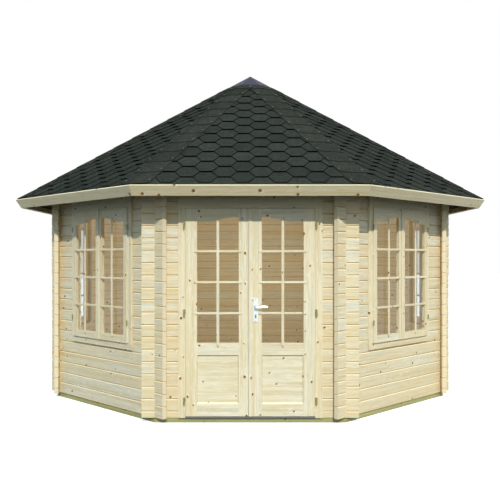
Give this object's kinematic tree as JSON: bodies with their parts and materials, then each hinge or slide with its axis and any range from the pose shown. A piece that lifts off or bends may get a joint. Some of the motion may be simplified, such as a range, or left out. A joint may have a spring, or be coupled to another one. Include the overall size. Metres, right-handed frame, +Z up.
{
  "type": "octagonal log cabin",
  "caption": "Octagonal log cabin with interlocked log corners, a glazed double door, arched casement windows and an eight-sided shingled roof.",
  "frame": {"origin": "on the ground, in the middle of the octagon", "axes": "+Z up; the doorway faces -Y; +X is to the right when looking at the doorway from outside"},
  "size_m": [5.0634, 5.0634, 3.7566],
  "materials": {
    "spruce_logs": "planed, untreated",
    "spruce_boards": "planed, untreated",
    "spruce_joinery": "planed, untreated",
    "treated_spruce": "pressure treated, greenish",
    "window_glass": "clear",
    "bitumen_shingle": "mineral granules, dark green-black",
    "cap_steel": "dark blue-grey paint",
    "zinc_plated_steel": "yellow zinc plated",
    "handle_aluminium": "satin",
    "threshold_steel": "grey-blue sheet"
  },
  "bodies": {
    "cabin": {"back_left_roof_panel": "spruce_boards", "back_left_wall": "spruce_logs", "back_right_roof_panel": "spruce_boards", "back_right_wall": "spruce_logs", "back_roof_panel": "spruce_boards", "back_wall": "spruce_logs", "base_frame": "treated_spruce", "casing_hinge_halves": "zinc_plated_steel", "door_frame": "spruce_joinery", "door_threshold": "threshold_steel", "fascia_boards": "spruce_joinery", "floor": "spruce_boards", "front_left_roof_panel": "spruce_boards", "front_left_wall": "spruce_logs", "front_left_window_frame": "spruce_joinery", "front_left_window_glass": "window_glass", "front_left_window_sashes": "spruce_joinery", "front_right_roof_panel": "spruce_boards", "front_right_wall": "spruce_logs", "front_right_window_frame": "spruce_joinery", "front_right_window_glass": "window_glass", "front_right_window_sashes": "spruce_joinery", "front_roof_panel": "spruce_boards", "front_wall_header": "spruce_logs", "front_wall_left": "spruce_logs", "front_wall_right": "spruce_logs", "hip_rafters": "spruce_boards", "left_roof_panel": "spruce_boards", "left_wall": "spruce_logs", "left_window_frame": "spruce_joinery", "left_window_glass": "window_glass", "left_window_sashes": "spruce_joinery", "rafter_hub": "spruce_boards", "right_roof_panel": "spruce_boards", "right_wall": "spruce_logs", "right_window_frame": "spruce_joinery", "right_window_glass": "window_glass", "right_window_sashes": "spruce_joinery", "roof_cap": "cap_steel", "shingle_cover": "bitumen_shingle"},
    "left_door": {"left_door": "spruce_joinery", "left_door_glass": "window_glass", "left_door_hinge_halves": "zinc_plated_steel"},
    "right_door": {"right_door": "spruce_joinery", "right_door_glass": "window_glass", "right_door_hinge_halves": "zinc_plated_steel", "door_handle_plates": "handle_aluminium"},
    "door_lever": {"door_lever": "handle_aluminium"}
  },
  "joints": [
    {"name": "left_door_swing", "type": "hinge", "parent": "cabin", "child": "left_door", "pos_m": [-0.608, -2.172, 0], "axis": [0, 0, -1], "range_deg": [0, 115]},
    {"name": "right_door_swing", "type": "hinge", "parent": "cabin", "child": "right_door", "pos_m": [0.608, -2.172, 0], "axis": [0, 0, 1], "range_deg": [0, 115]},
    {"name": "lever_turn", "type": "hinge", "parent": "right_door", "child": "door_lever", "pos_m": [0.049, -2.145, 1.069], "axis": [0, 1, 0], "range_deg": [0, 40], "stiffness_Nm_per_rad": 1.5, "springref_deg": -11.46}
  ]
}
